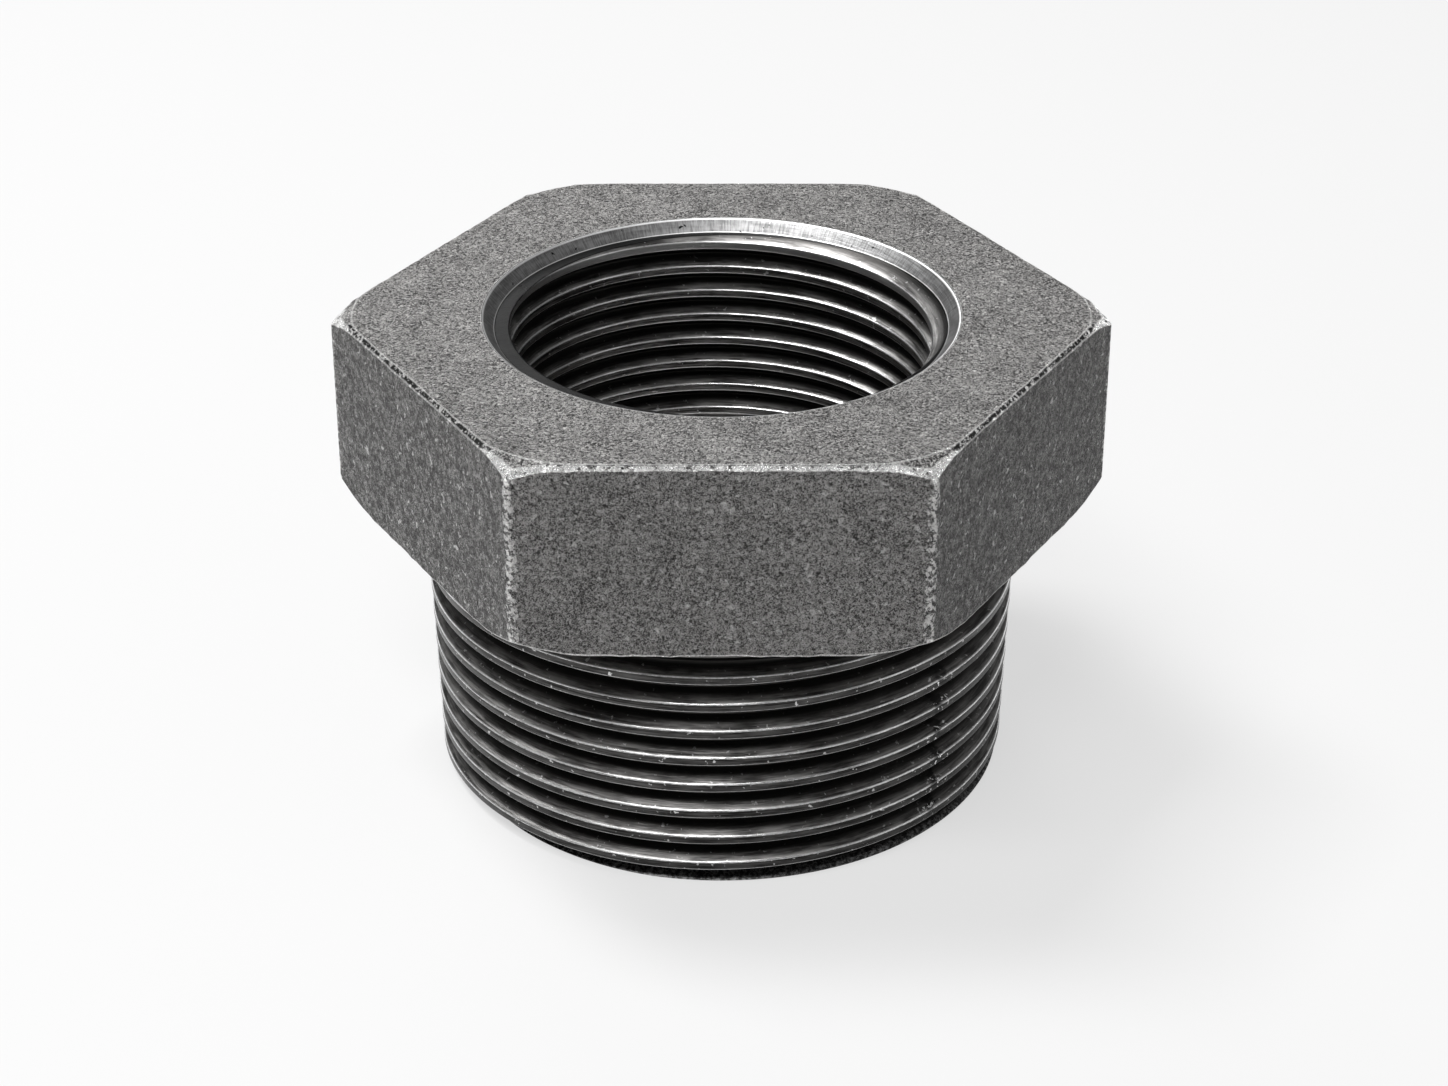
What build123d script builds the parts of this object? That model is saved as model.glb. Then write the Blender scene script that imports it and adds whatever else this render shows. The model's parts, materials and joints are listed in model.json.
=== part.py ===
from build123d import *
import os
from math import atan, ceil, cos, degrees, radians, tan

# A hex bushing for pipe: a forged hexagonal head over a shank with a taper
# pipe thread outside, and a smaller taper pipe thread in a socket in the head.
# Millimetres. The origin is the centre of the flat end of the shank, +Z runs
# along the pipe axis towards the head, and two flats face -Y and +Y.

# Head
sides = 6
across_flats = 37.3
head_height = 11.1
corner_round = 0.5
edge_break = 0.25
edge_break_angle = 45.0
chamfer_angle = 32.0
top_chamfer_width = 1.25
bottom_chamfer_width = 1.45

# Both threads are right-handed and narrow downwards by one part in sixteen on the diameter
taper = 1 / 16
flank_angle = 60.0

# Outside thread, cut on the shank and fading out under the head
shank_length = 15.8
outside_diameter = 33.4
outside_pitch = 1.7
outside_crest_flat = 0.62
outside_fade_length = 2.4
end_chamfer = 0.45

# Inside thread, cut in the socket in the head and fading out above its bottom. The
# diameter is over its roots at the face of the head, and the lowest root lies this
# many turns above the socket's floor.
socket_length = 14.25
inside_diameter = 24.9
inside_pitch = 1.5
inside_crest_flat = 0.58
inside_start_turns = 2
inside_fade_length = 1.0
countersink_diameter = 26.2
countersink_angle = 90.0

# Waterway below the socket
drill_point_angle = 118.0
waterway_diameter = 21.6

# How far a solid reaches past another that it cuts or joins
reach = 0.5
# How far a thread groove's flanks carry on past the crests before they run straight out
flank_overlap = 0.05

# Sizes that follow from the ones above
overall_height = shank_length + head_height
corner_radius = across_flats / 2 / cos(radians(180 / sides))
socket_floor = overall_height - socket_length
outside_start = -outside_pitch / 2
inside_start = socket_floor + inside_start_turns * inside_pitch
taper_angle = degrees(atan(taper / 2))
flank_slope = tan(radians(flank_angle / 2))
chamfer_slope = tan(radians(chamfer_angle))
countersink_slope = tan(radians(countersink_angle / 2))
drill_point_slope = tan(radians(drill_point_angle / 2))
# A groove is as wide at the crests as their flats leave of the pitch, which sets its depth
outside_depth = (outside_pitch - outside_crest_flat) / 2 / flank_slope
inside_depth = (inside_pitch - inside_crest_flat) / 2 / flank_slope


def outside_crest(height):
    """Radius of the outside thread's crests at a height above the shank's end."""
    return outside_diameter / 2 - (shank_length - height) * taper / 2


def inside_root(height):
    """Radius of the inside thread's roots at a height above the shank's end."""
    return inside_diameter / 2 - (overall_height - height) * taper / 2


def turned(points):
    """A solid turned about the pipe axis from its half outline of (radius, height) points."""
    return revolve(Plane.XZ * make_face(Polyline(*points, close=True)), Axis.Z)


def thread_groove(root, low, high, pitch, depth):
    """A sharp-rooted groove that winds up the taper in whole turns, from low to past high.

    root is the radius of its root at low. Its depth is over 0 where it is open outwards, as on a
    shank, and under 0 where it is open towards the axis, as in a socket.
    """
    side = depth / abs(depth)
    top = root + depth + side * flank_overlap
    half_width = (abs(depth) + flank_overlap) * flank_slope
    section = Polyline(
        (root, low),
        (top, low - half_width),
        (top + side * reach, low - half_width),
        (top + side * reach, low + half_width),
        (top, low + half_width),
        close=True,
    )
    slant_pitch = pitch / cos(radians(taper_angle))
    turns = []
    for turn in range(ceil((high - low) / pitch)):
        climb = turn * pitch
        radius = root + climb * taper / 2
        turns.append(Helix(slant_pitch, pitch, radius, center=(0, 0, low + climb), cone_angle=taper_angle).edge())
    return sweep(Plane.XZ * make_face(section), Wire(turns), is_frenet=True)


def head():
    """The hexagonal head, solid: rounded corners, broken top edges, corners turned off at both ends."""
    hexagon = fillet(RegularPolygon(corner_radius, sides).vertices(), corner_round)
    wall_height = head_height - edge_break
    prism = extrude(Pos(0, 0, shank_length) * hexagon, wall_height)
    prism += extrude(Pos(0, 0, shank_length + wall_height) * hexagon, edge_break, taper=edge_break_angle)
    widest = corner_radius + reach
    turned_off = turned(
        [
            (0, shank_length),
            (corner_radius - bottom_chamfer_width, shank_length),
            (widest, shank_length + (bottom_chamfer_width + reach) * chamfer_slope),
            (widest, overall_height - (top_chamfer_width + reach) * chamfer_slope),
            (corner_radius - top_chamfer_width, overall_height),
            (0, overall_height),
        ]
    )
    return prism & turned_off


def shank():
    """The solid shank, its end chamfered, with the thread cut in it and fading out under the head."""
    high = shank_length + reach
    chamfer_height = end_chamfer / (1 - taper / 2)
    blank = turned(
        [
            (0, 0),
            (outside_crest(0) - end_chamfer, 0),
            (outside_crest(chamfer_height), chamfer_height),
            (outside_crest(high), high),
            (0, high),
        ]
    )
    fade_start = shank_length - outside_fade_length
    fade_root = outside_crest(fade_start) - outside_depth
    fade_slope = (outside_crest(high) - fade_root) / (high - fade_start)
    fade = turned(
        [
            (0, fade_start - outside_pitch),
            (fade_root - outside_pitch * fade_slope, fade_start - outside_pitch),
            (fade_root + (high - fade_start) * fade_slope, high),
            (0, high),
        ]
    )
    root = outside_crest(outside_start) - outside_depth
    return blank - thread_groove(root, outside_start, high, outside_pitch, outside_depth) + fade


def socket():
    """The socket as a solid: its tapered hole with the drill point below, and the groove of its thread."""
    low = socket_floor
    high = overall_height + reach
    low_crest = inside_root(low) - inside_depth
    fade_start = inside_start - inside_pitch / 2
    fade_end = fade_start + inside_fade_length
    hole = turned(
        [
            (0, low - low_crest / drill_point_slope),
            (low_crest, low),
            (inside_root(high) - inside_depth, high),
            (0, high),
        ]
    )
    fade = turned(
        [
            (0, fade_start),
            (inside_root(fade_start) - inside_depth, fade_start),
            (inside_root(fade_end), fade_end),
            (inside_root(high) + reach, high),
            (0, high),
        ]
    )
    groove = thread_groove(inside_root(inside_start), inside_start, high, inside_pitch, -inside_depth)
    return hole + (groove & fade)


def countersink():
    """The cone that opens the socket at the face of the head, as deep as the thread's roots."""
    rim = countersink_diameter / 2
    depth = (rim - inside_root(overall_height)) / countersink_slope
    return turned(
        [
            (0, overall_height - depth),
            (rim - depth * countersink_slope, overall_height - depth),
            (rim + reach * countersink_slope, overall_height + reach),
            (0, overall_height + reach),
        ]
    )


def waterway():
    """The plain round passage through the whole bushing."""
    return Pos(0, 0, -reach) * Cylinder(
        waterway_diameter / 2,
        overall_height + 2 * reach,
        align=(Align.CENTER, Align.CENTER, Align.MIN),
    )


def hex_bushing():
    """The bushing, one solid."""
    return shank() + head() - socket() - countersink() - waterway()


os.makedirs("parts", exist_ok=True)
bushing = hex_bushing()
export_step(bushing, "parts/hex_bushing.step")
print("hex_bushing", round(bushing.volume, 1), "mm3", bushing.is_valid, len(bushing.solids()), len(bushing.faces()))
print("thread depths", round(outside_depth, 3), round(inside_depth, 3), "corners", round(2 * corner_radius, 2))
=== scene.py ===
import json
import logging
from dataclasses import dataclass, replace
from enum import Enum
from math import ceil, cos, pi, radians, sin, tan, tau
from typing import Any, Union

import bpy
import numpy as np
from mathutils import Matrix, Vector


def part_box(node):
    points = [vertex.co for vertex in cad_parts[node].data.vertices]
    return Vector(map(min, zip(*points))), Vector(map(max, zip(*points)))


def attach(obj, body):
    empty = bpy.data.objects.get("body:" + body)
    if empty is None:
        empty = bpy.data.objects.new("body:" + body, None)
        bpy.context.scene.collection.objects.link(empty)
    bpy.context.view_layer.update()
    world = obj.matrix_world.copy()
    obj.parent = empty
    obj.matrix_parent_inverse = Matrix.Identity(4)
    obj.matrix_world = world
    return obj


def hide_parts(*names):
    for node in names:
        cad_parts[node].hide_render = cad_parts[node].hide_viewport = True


# Looks of the hex bushing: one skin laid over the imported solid, with its cut
# threads, broken edges and wear, in a pale studio. Lengths are in millimetres
# until a mesh, a lamp or the camera is made, and Blender's own are in metres.
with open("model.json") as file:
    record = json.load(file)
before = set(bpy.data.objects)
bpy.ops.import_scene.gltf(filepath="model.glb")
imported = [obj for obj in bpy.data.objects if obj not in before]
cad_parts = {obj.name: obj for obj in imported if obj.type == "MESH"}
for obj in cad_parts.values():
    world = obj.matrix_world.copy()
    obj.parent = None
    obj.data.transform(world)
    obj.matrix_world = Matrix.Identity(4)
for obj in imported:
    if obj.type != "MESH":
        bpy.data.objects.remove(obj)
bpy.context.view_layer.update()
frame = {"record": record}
record = frame["record"]
log = logging.getLogger("bushing")

MM = 0.001
NODE = "hex_bushing"
BODY = "root"
SIDE_ANGLE = pi / 3

Span = tuple[float, float]
Places = tuple[float, ...]
Lengths = Union[np.ndarray, float]


def mount(name: str, dimension: str) -> float:
    """A mount's dimension in mm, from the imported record."""
    return next(m["dims"][dimension] for m in record["mounts"] if m["name"] == name)


low_corner, high_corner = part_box(NODE)
OVERALL_HEIGHT = (high_corner.z - low_corner.z) / MM
ACROSS_FLATS = (high_corner.y - low_corner.y) / MM


class Finish(Enum):
    """The bushing's finishes, in the order of its material slots."""

    FORGED = 0
    SHANK_THREAD = 1
    SOCKET_THREAD = 2
    TURNED = 3


@dataclass
class Band:
    """Rows of the bushing's skin, each a ring of points round the pipe axis.

    radius and height are arrays of (rows, columns), one column for each angle.
    """

    radius: np.ndarray
    height: np.ndarray
    finish: Finish


def waves(along: np.ndarray, lengths: Places, shift: float) -> np.ndarray:
    """Smooth unevenness between about -1 and 1.

    It is the mean of sines, one for each wavelength, with phases that a fixed shift sets.

    Args:
        along: where each point lies along a line, in the unit of the wavelengths.
        lengths: the wavelengths.
        shift: sets the phases, so that two calls differ.

    Returns:
        One number for each point.
    """
    wave = [np.sin(tau * along / length + shift * (index + 1) ** 2) for index, length in enumerate(lengths)]
    return np.mean(wave, axis=0)


def lesser(first: np.ndarray, second: Lengths, blend: float) -> np.ndarray:
    """The smaller of two, with a rounded change: half of (a + b - sqrt((a - b)^2 + blend^2))."""
    return (first + second - np.sqrt((first - second) ** 2 + blend**2)) / 2


def greater(first: np.ndarray, second: Lengths, blend: float) -> np.ndarray:
    """The larger of two, with a rounded change: half of (a + b + sqrt((a - b)^2 + blend^2))."""
    return (first + second + np.sqrt((first - second) ** 2 + blend**2)) / 2


def eased(outline: np.ndarray, size: np.ndarray) -> np.ndarray:
    """Round the inner corners of an outline.

    Each inner corner P becomes three points: A and B, which lie back from P by size towards its two
    neighbours, but by no more than the longest share of the way, and between them a quarter of A, a half of
    P and a quarter of B, the middle of a parabola.

    Args:
        outline: (corners, columns, 2) points of (radius, height).
        size: how far back the rounding starts, one for each column.

    Returns:
        (rows, columns, 2) points, three for each inner corner and one for each end.
    """
    longest = 0.4
    inner = outline[1:-1]
    sides = []
    for neighbour in (outline[:-2], outline[2:]):
        way = neighbour - inner
        length = np.maximum(np.linalg.norm(way, axis=2, keepdims=True), 1e-9)
        sides.append(inner + way * np.minimum(size[:, None] / length, longest))
    before, after = sides
    middle = before / 4 + inner / 2 + after / 4
    rounded = np.stack([before, middle, after], axis=1).reshape(-1, *outline.shape[1:])
    return np.concatenate([outline[:1], rounded, outline[-1:]])


def between(start: np.ndarray, end: np.ndarray, rows: int) -> np.ndarray:
    """Evenly spaced rows between two rows of points, which they leave out."""
    share = np.linspace(0, 1, rows + 2)[1:-1, None, None]
    return start + (end - start) * share


@dataclass(frozen=True)
class Thread:
    """A right-handed taper pipe thread of straight flanks.

    Attributes:
        pitch: rise of one turn.
        crest_flat: width of the flat crests.
        root_flat: width of the flat roots.
        crest_radius: radius over the crests at the height that mouth gives.
        mouth: height of the thread's open end by the head, or of its mouth in the head.
        outward: 1 for a thread on a shank, -1 for one in a socket.
        start: height of a crest's middle at the angle 0.
        other_rows: places of the rows that don't lie at an edge, in turns from a crest's middle.
        taper: change of the diameter for each mm of height.
        half_angle: angle between a flank and the radius.
        edge_turn: half the share of a turn over which a crest's edge is rounded.
    """

    pitch: float
    crest_flat: float
    root_flat: float
    crest_radius: float
    mouth: float
    outward: int
    start: float
    other_rows: Places
    taper: float = 1 / 16
    half_angle: float = radians(30)
    edge_turn: float = 0.02

    def crest(self, height: np.ndarray) -> np.ndarray:
        """Radius of the crests at a height: it narrows by half the taper for each mm below the mouth."""
        return self.crest_radius - (self.mouth - height) * self.taper / 2

    def depth(self) -> float:
        """Depth of the roots below the crests, which the two flanks set."""
        return (self.pitch - self.crest_flat - self.root_flat) / 2 / tan(self.half_angle)

    def radius(self, angle: np.ndarray, height: np.ndarray) -> np.ndarray:
        """Radius of the thread's surface.

        The distance along the axis from the nearest crest's middle, less half the crest flat, over the
        tangent of the half angle, is how far the surface lies below the crest, and no deeper than the root.

        Args:
            angle: each point's angle round the axis.
            height: its height.

        Returns:
            A radius for each point.
        """
        turns = (height - self.start) / self.pitch - angle / tau
        distance = np.abs(turns - np.round(turns)) * self.pitch
        below = np.clip((distance - self.crest_flat / 2) / tan(self.half_angle), 0, self.depth())
        return self.crest(height) - self.outward * below

    def rows(self) -> np.ndarray:
        """Places of the rows within one pitch: close pairs at the crest edges, one at each root edge, the others.

        Returns:
            The places, in turns from a crest's middle.
        """
        crest = self.crest_flat / 2 / self.pitch
        root = 0.5 - self.root_flat / 2 / self.pitch
        inside, outside = crest - self.edge_turn, crest + self.edge_turn
        return np.array((-root, -outside, -inside, inside, outside, root) + self.other_rows)

    def heights(self, angle: np.ndarray, low: float, high: float) -> np.ndarray:
        """Heights of rows that follow the helix, held between two ends.

        A row's height is the start plus the pitch times (its place in turns plus the angle's share of a turn).

        Args:
            angle: the columns' angles, from 0 to a full turn.
            low: height of the lower end.
            high: height of the upper end.

        Returns:
            (rows, columns) heights, rising.
        """
        first = (low - self.start) / self.pitch - 1
        last = (high - self.start) / self.pitch
        turns = np.arange(ceil(first) - 1, ceil(last) + 1)
        places = np.sort((turns[:, None] + self.rows()[None, :]).ravel())
        places = places[(places > first) & (places < last)]
        return np.clip(self.start + self.pitch * (places[:, None] + angle[None, :] / tau), low, high)


@dataclass(frozen=True)
class ShankThread:
    """The shank: its flat end, the chamfer there, and the outside thread that fades out under the head.

    Attributes:
        length: from the flat end to the head.
        crest_radius: radius over the thread's crests under the head.
        pitch: rise of one turn.
        crest_flat: width of the flat crests.
        root_flat: width of the flat roots.
        end_chamfer: how far the end is chamfered inwards.
        fade_length: how far below the head the roots start to rise.
        fade_reach: how far above the shank's end in the head they would meet the crests.
        other_rows: places of the rows that don't lie at an edge, in turns from a crest's middle.
        end_rows: shares of the way from the waterway to the rim at which the flat end's rows lie.
    """

    length: float = mount("outside_thread", "length_mm")
    crest_radius: float = mount("outside_thread", "r_mm")
    pitch: float = 1.7
    crest_flat: float = 0.46
    root_flat: float = 0.16
    end_chamfer: float = 0.45
    fade_length: float = 2.4
    fade_reach: float = 0.5
    other_rows: Places = (-0.5, -0.3, 0.0, 0.19, 0.27, 0.36)
    end_rows: Places = (0.0, 0.02, 0.5, 0.98)

    def thread(self) -> Thread:
        """The outside thread, with a crest at the shank's end at the angle 0."""
        return Thread(self.pitch, self.crest_flat, self.root_flat, self.crest_radius, self.length, 1, 0.0,
                      self.other_rows)

    def surface(self, angle: np.ndarray, height: np.ndarray) -> np.ndarray:
        """Radius of the shank: the thread, not inside the fade's cone, not outside the end's cone.

        Args:
            angle: each point's angle round the axis.
            height: its height.

        Returns:
            A radius for each point.
        """
        thread = self.thread()
        fade_start = self.length - self.fade_length
        fade_end = self.length + self.fade_reach
        root = thread.crest(fade_start) - thread.depth()
        fade_slope = (thread.crest(fade_end) - root) / (fade_end - fade_start)
        fade = root + (height - fade_start) * fade_slope
        end_cone = thread.crest(0.0) - self.end_chamfer + height
        return np.minimum(np.maximum(thread.radius(angle, height), fade), end_cone)

    def bands(self, angle: np.ndarray, inner_radius: float) -> list[Band]:
        """The flat end, from the waterway out, and the thread up to the head.

        Args:
            angle: the columns' angles.
            inner_radius: radius of the waterway.

        Returns:
            Two bands.
        """
        end_radius = self.surface(angle, np.zeros_like(angle))
        end = inner_radius + (end_radius - inner_radius) * np.array(self.end_rows)[:, None]
        height = self.thread().heights(angle, 0.0, self.length)
        return [
            Band(end, np.zeros_like(end), Finish.TURNED),
            Band(self.surface(angle[None, :], height), height, Finish.SHANK_THREAD),
        ]


@dataclass(frozen=True)
class HexHead:
    """The hexagonal head, its corners turned off at both ends and its edges broken.

    Attributes:
        low: height of its underside.
        high: height of its top.
        across_flats: distance between opposite flats.
        corner_round: radius of the upright corners.
        top_break: width of the broken edges of the top.
        bottom_break: width of the broken edges of the underside.
        chamfer_angle: slope of the cones that turn the corners off.
        top_chamfer_width: how far the upper cone reaches in from a corner.
        bottom_chamfer_width: how far the lower cone does.
        rounding: how far back from an edge its rounding starts.
        top_blend: width over which the top's circle runs into its broken edges.
        bottom_blend: the same at the underside.
        top_unevenness: share by which the top's broken edges vary in width.
        bottom_unevenness: the same at the underside.
        top_waves: wavelengths of that variation at the top, in degrees round the axis.
        bottom_waves: the same at the underside.
        kink_share: least share of the broken edge's width on either side of its kink.
        kink_drop: least height between the kink and the broken edge's ends.
        underside_rows: rows of points across the underside.
        wall_rows: rows of points up the flats.
        top_rows: rows of points across the top.
    """

    low: float = mount("outside_thread", "length_mm")
    high: float = OVERALL_HEIGHT
    across_flats: float = ACROSS_FLATS
    corner_round: float = 0.5
    top_break: float = 0.25
    bottom_break: float = 0.12
    chamfer_angle: float = radians(32)
    top_chamfer_width: float = 1.25
    bottom_chamfer_width: float = 1.45
    rounding: float = 0.09
    top_blend: float = 0.5
    bottom_blend: float = 0.3
    top_unevenness: float = 0.15
    bottom_unevenness: float = 0.5
    top_waves: Places = (23.0, 9.0, 5.0, 3.1)
    bottom_waves: Places = (17.0, 7.0, 3.7)
    kink_share: float = 0.3
    kink_drop: float = 0.03
    underside_rows: int = 3
    wall_rows: int = 12
    top_rows: int = 6

    def apothem(self) -> float:
        """Distance from the axis to a flat."""
        return self.across_flats / 2

    def corner_radius(self) -> float:
        """Distance from the axis to a corner before it is rounded."""
        return self.apothem() / cos(SIDE_ANGLE / 2)

    def from_corner(self, angle: np.ndarray) -> np.ndarray:
        """Angle from the nearest corner."""
        return np.abs(angle - np.round(angle / SIDE_ANGLE) * SIDE_ANGLE)

    def hexagon(self, angle: np.ndarray, inset: float) -> np.ndarray:
        """Radius of the rounded hexagon at an angle.

        Away from a corner it is the flat's distance over the cosine of the angle from the flat's middle.
        Near one it is where the ray meets the corner's circle: m cos(a) + sqrt(r^2 - m^2 sin(a)^2), with m
        the circle's distance from the axis, r its radius and a the angle from the corner.

        Args:
            angle: the angles.
            inset: how far inside the flats the hexagon lies.

        Returns:
            A radius for each angle.
        """
        flat = self.apothem() - inset
        rounding = self.corner_round - inset
        middle = (flat - rounding) / cos(SIDE_ANGLE / 2)
        from_corner = self.from_corner(angle)
        touch = SIDE_ANGLE / 2 - np.arctan((flat - rounding) * tan(SIDE_ANGLE / 2) / flat)
        under = np.maximum(rounding**2 - (middle * np.sin(from_corner)) ** 2, 0)
        arc = middle * np.cos(from_corner) + np.sqrt(under)
        return np.where(from_corner < touch, arc, flat / np.cos(SIDE_ANGLE / 2 - from_corner))

    def bands(self, angle: np.ndarray, shank_radius: np.ndarray, mouth_radius: float) -> list[Band]:
        """The head's skin from the shank out over the underside, up the flats and in over the top.

        Args:
            angle: the columns' angles.
            shank_radius: radius of the shank under the head, for each column.
            mouth_radius: radius of the countersink's edge.

        Returns:
            One band.
        """
        slope = tan(self.chamfer_angle)
        wall = self.hexagon(angle, 0.0)
        lean = np.cos(SIDE_ANGLE / 2 - self.from_corner(angle))
        top_circle = self.corner_radius() - self.top_chamfer_width
        bottom_circle = self.corner_radius() - self.bottom_chamfer_width
        around = np.degrees(angle)
        uneven = 1 + self.top_unevenness * waves(around, self.top_waves, 1.3)

        bottom_cut = self.bottom_break * (1 + self.bottom_unevenness * waves(around, self.bottom_waves, 2.1))
        underside_end = lesser(wall - bottom_cut / lean, bottom_circle, self.bottom_blend)
        wall_low = self.low + greater(bottom_cut, (wall - bottom_circle) * slope, self.bottom_blend)

        top_cut = self.top_break * uneven
        wall_high = self.high - greater(top_cut, (wall - top_circle) * slope, self.top_break)
        top_end = lesser(wall - top_cut / lean, top_circle, self.top_blend)
        # The corner's cone and the broken edge, which is at 45 degrees to the flat, cross at the kink
        kink = (slope * top_circle + top_cut - lean * wall) / (slope - lean)
        margin = self.kink_share * (wall - top_end)
        kink = np.clip(kink, top_end + margin, wall - margin)
        kink_high = self.high - np.maximum(top_cut - (wall - kink) * lean, (kink - top_circle) * slope)
        kink_high = np.clip(kink_high, wall_high + self.kink_drop, self.high - self.kink_drop)

        outline = [(shank_radius, self.low), (underside_end, self.low), (wall, wall_low), (wall, wall_high),
                   (kink, kink_high), (top_end, self.high), (mouth_radius, self.high)]
        points = [np.stack(np.broadcast_arrays(radius, height, angle)[:2], axis=1) for radius, height in outline]
        rows = eased(np.stack(points), self.rounding * uneven)
        rows = np.concatenate([
            rows[:1],
            between(rows[0], rows[1], self.underside_rows),
            rows[1:7],
            between(rows[6], rows[7], self.wall_rows),
            rows[7:16],
            between(rows[15], rows[16], self.top_rows),
            rows[16:],
        ])
        return [Band(rows[..., 0], rows[..., 1], Finish.FORGED)]


@dataclass(frozen=True)
class SocketThread:
    """The threaded socket in the head: its countersink, the inside thread, and the passage below.

    Attributes:
        high: height of the head's face.
        root_radius: radius of the thread's roots there.
        length: depth of the socket.
        waterway_radius: radius of the passage below.
        waterway_length: its length.
        pitch: rise of one turn.
        crest_flat: width of the flat crests.
        root_flat: width of the flat roots.
        countersink_radius: radius of the countersink at the head's face.
        fade_turns: how many turns above the socket's floor the roots start to widen.
        fade_length: the height over which they do.
        crest_phase: height of a crest's middle above the socket's floor at the angle 0.
        rim_round: how far back from the rim its rounding starts.
        other_rows: places of the rows that don't lie at an edge, in turns from a crest's middle.
        ledge_rows: shares of the way from the roots to the thread at which the ledge's rows lie.
        edge_gap: how close to an edge the next row lies on a plain face.
        passage_gap: how close to the passage's ends its next rows lie.
        passage_rows: heights of the rows between those.
    """

    high: float = OVERALL_HEIGHT
    root_radius: float = mount("inside_thread", "r_mm")
    length: float = mount("inside_thread", "length_mm")
    waterway_radius: float = mount("waterway", "r_mm")
    waterway_length: float = mount("waterway", "length_mm")
    pitch: float = 1.5
    crest_flat: float = 0.4
    root_flat: float = 0.18
    countersink_radius: float = 13.1
    fade_turns: float = 1.5
    fade_length: float = 1.0
    crest_phase: float = 0.75
    rim_round: float = 0.06
    other_rows: Places = (-0.32, -0.2, 0.2, 0.32)
    ledge_rows: Places = (0.1, 0.9)
    edge_gap: float = 0.02
    passage_gap: float = 0.15
    passage_rows: Places = (8.0, 4.0)

    def thread(self) -> Thread:
        """Make the inside thread, whose crests lie where the photograph's turns are on the far wall.

        Returns:
            The thread. It is measured over its roots, so its crests lie inside them by its depth.
        """
        start = self.high - self.length + self.crest_phase
        over_roots = Thread(self.pitch, self.crest_flat, self.root_flat, self.root_radius, self.high, -1, start,
                            self.other_rows)
        return replace(over_roots, crest_radius=self.root_radius - over_roots.depth())

    def countersink_depth(self) -> float:
        """Depth of the countersink, whose 45 degree cone ends at the thread's roots."""
        return self.countersink_radius - self.root_radius

    def rim_radius(self) -> float:
        """Radius at which the head's face ends and the rounding of the rim starts."""
        return self.countersink_radius + self.rim_round

    def surface(self, angle: np.ndarray, height: np.ndarray) -> np.ndarray:
        """Radius of the socket below its countersink: the thread, held in by a cone where it fades out.

        Args:
            angle: each point's angle round the axis.
            height: its height.

        Returns:
            A radius for each point.
        """
        thread = self.thread()
        fade_start = self.high - self.length + self.fade_turns * self.pitch
        fade_end = fade_start + self.fade_length
        start = thread.crest(fade_start)
        fade_slope = (thread.crest(fade_end) + thread.depth() - start) / self.fade_length
        fade = start + (height - fade_start) * fade_slope
        return np.maximum(np.minimum(thread.radius(angle, height), fade), thread.crest(height))

    def bands(self, angle: np.ndarray) -> list[Band]:
        """The socket from its mouth down, the step below the thread and the waterway to the shank's end.

        The countersink's cone ends on a flat ledge, from the roots in to wherever the thread is cut there.

        Args:
            angle: the columns' angles.

        Returns:
            Two bands.
        """
        low = self.high - self.length
        deep = self.countersink_depth()
        ledge = self.high - deep
        edge = self.rim_round / 4
        wide = np.ones_like(angle)
        cone = np.array([edge, self.rim_round, deep / 2, deep - edge, deep])[:, None] * wide
        thread_height = self.thread().heights(angle, low, ledge)[::-1]
        thread_radius = self.surface(angle[None, :], thread_height)
        flat = self.root_radius + (thread_radius[:1] - self.root_radius) * np.array(self.ledge_rows)[:, None]
        height = np.concatenate([self.high - cone, np.full_like(flat, ledge), thread_height])
        radius = np.concatenate([self.countersink_radius - cone, flat, thread_radius])

        upper = (low - self.edge_gap, self.waterway_length, self.waterway_length - self.passage_gap)
        passage = np.array(upper + self.passage_rows + (self.passage_gap, self.edge_gap))
        passage_radius = np.full_like(passage, self.waterway_radius)
        passage_radius[0] = self.thread().crest(low) - self.edge_gap
        return [
            Band(radius, height, Finish.SOCKET_THREAD),
            Band(passage_radius[:, None] * wide, passage[:, None] * wide, Finish.TURNED),
        ]


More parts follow.
